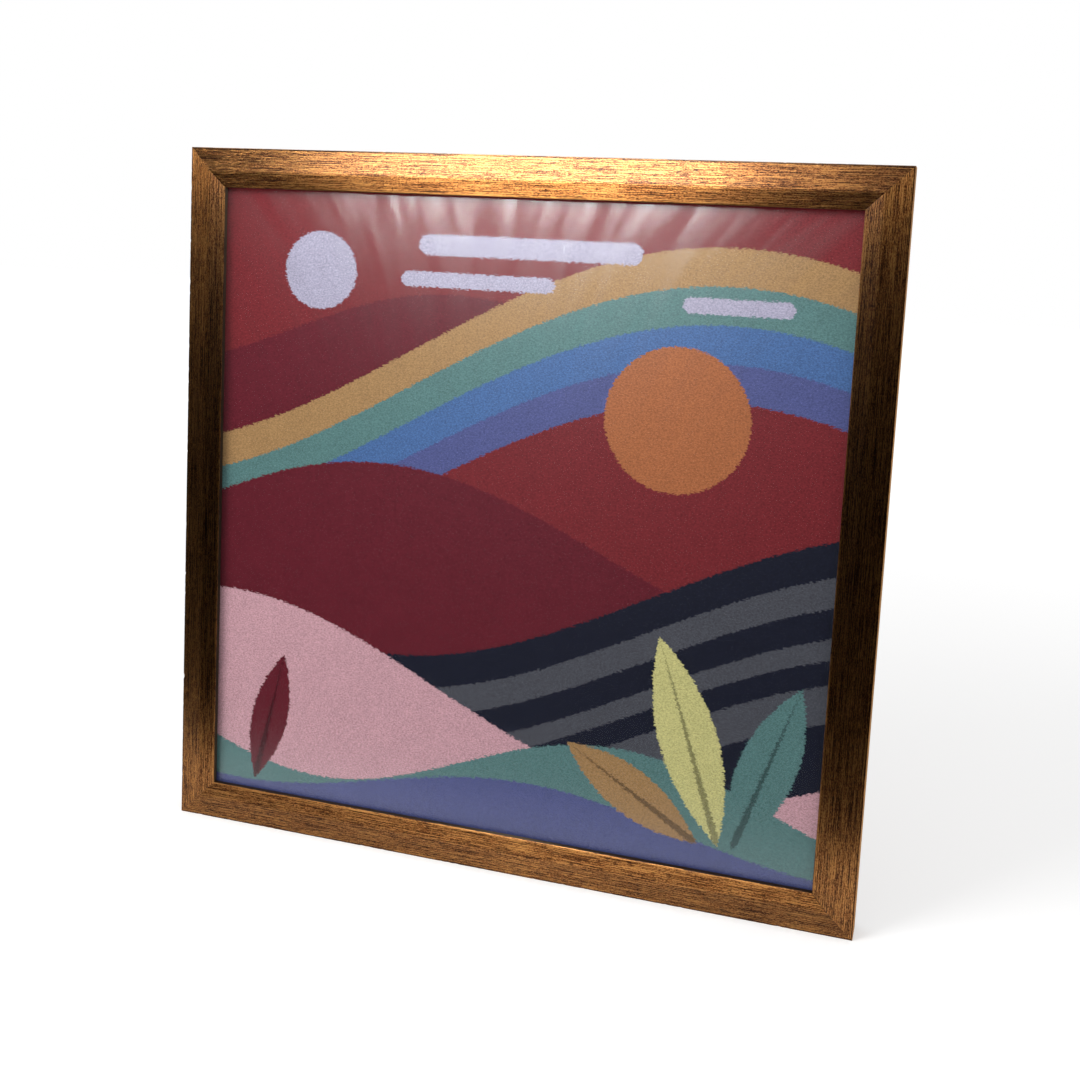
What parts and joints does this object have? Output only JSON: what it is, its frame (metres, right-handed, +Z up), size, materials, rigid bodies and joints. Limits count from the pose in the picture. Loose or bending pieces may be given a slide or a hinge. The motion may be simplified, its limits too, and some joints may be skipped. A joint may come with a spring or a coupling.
{
  "type": "vinyl record frame",
  "caption": "Square wall frame for a record jacket: mitred bronze mouldings, textured glazing, printed sheet, backing board, turn buttons and a hanging ring.",
  "frame": {"origin": "on the flat of the bottom edge, at the middle of the width and of the moulding's depth", "axes": "+Z up, +X to the right as seen from the front, the front faces -Y and the wall is at +Y"},
  "size_m": [0.3302, 0.0194, 0.3302],
  "materials": {
    "bronze_foil": "satin antique bronze foil, brushed along each rail with short dark flecks",
    "glazing": "clear, finely pebbled so that it does not glare",
    "print": "matt print in flat areas of crimson, teal, blue, ochre, orange, pink and navy",
    "cardboard": "brown corrugated board",
    "fibreboard": "smooth brown hardboard",
    "zinc_steel": "bright zinc plate",
    "brassed_steel": "thin yellow brass plate over steel",
    "rubber": "matt black"
  },
  "bodies": {
    "frame": {"rail_bottom": "bronze_foil", "rail_left": "bronze_foil", "rail_top": "bronze_foil", "rail_right": "bronze_foil", "mitre_nail_lower_left": "zinc_steel", "mitre_nail_upper_left": "zinc_steel", "mitre_nail_upper_right": "zinc_steel", "mitre_nail_lower_right": "zinc_steel", "button_screw_bottom_left": "brassed_steel", "button_screw_bottom_right": "brassed_steel", "button_screw_left_upper": "brassed_steel", "button_screw_left_lower": "brassed_steel", "button_screw_top_right": "brassed_steel", "button_screw_top_left": "brassed_steel", "button_screw_right_lower": "brassed_steel", "button_screw_right_upper": "brassed_steel", "glazing_sheet": "glazing", "printed_sheet": "print", "filler_board": "cardboard", "backing_board": "fibreboard", "hanger_strap": "zinc_steel", "hanger_rivet": "zinc_steel", "bumper_left": "rubber", "bumper_right": "rubber"},
    "turn_button_bottom_left": {"turn_button_bottom_left": "brassed_steel"},
    "turn_button_bottom_right": {"turn_button_bottom_right": "brassed_steel"},
    "turn_button_left_upper": {"turn_button_left_upper": "brassed_steel"},
    "turn_button_left_lower": {"turn_button_left_lower": "brassed_steel"},
    "turn_button_top_right": {"turn_button_top_right": "brassed_steel"},
    "turn_button_top_left": {"turn_button_top_left": "brassed_steel"},
    "turn_button_right_lower": {"turn_button_right_lower": "brassed_steel"},
    "turn_button_right_upper": {"turn_button_right_upper": "brassed_steel"},
    "hanging_ring": {"hanging_ring": "zinc_steel"}
  },
  "joints": [
    {"name": "turn_bottom_left", "type": "hinge", "parent": "frame", "child": "turn_button_bottom_left", "pos_m": [-0.07595, 0.0086, 0.00317], "axis": [0, 1, 0], "continuous": true},
    {"name": "turn_bottom_right", "type": "hinge", "parent": "frame", "child": "turn_button_bottom_right", "pos_m": [0.07595, 0.0086, 0.00317], "axis": [0, 1, 0], "continuous": true},
    {"name": "turn_left_upper", "type": "hinge", "parent": "frame", "child": "turn_button_left_upper", "pos_m": [-0.16193, 0.0086, 0.24105], "axis": [0, 1, 0], "continuous": true},
    {"name": "turn_left_lower", "type": "hinge", "parent": "frame", "child": "turn_button_left_lower", "pos_m": [-0.16193, 0.0086, 0.08915], "axis": [0, 1, 0], "continuous": true},
    {"name": "turn_top_right", "type": "hinge", "parent": "frame", "child": "turn_button_top_right", "pos_m": [0.07595, 0.0086, 0.32703], "axis": [0, 1, 0], "continuous": true},
    {"name": "turn_top_left", "type": "hinge", "parent": "frame", "child": "turn_button_top_left", "pos_m": [-0.07595, 0.0086, 0.32703], "axis": [0, 1, 0], "continuous": true},
    {"name": "turn_right_lower", "type": "hinge", "parent": "frame", "child": "turn_button_right_lower", "pos_m": [0.16193, 0.0086, 0.08915], "axis": [0, 1, 0], "continuous": true},
    {"name": "turn_right_upper", "type": "hinge", "parent": "frame", "child": "turn_button_right_upper", "pos_m": [0.16193, 0.0086, 0.24105], "axis": [0, 1, 0], "continuous": true},
    {"name": "ring_swing", "type": "hinge", "parent": "frame", "child": "hanging_ring", "pos_m": [0, 0.00975, 0.3041], "axis": [1, 0, 0], "range_deg": [-3.5, 183.5]}
  ]
}
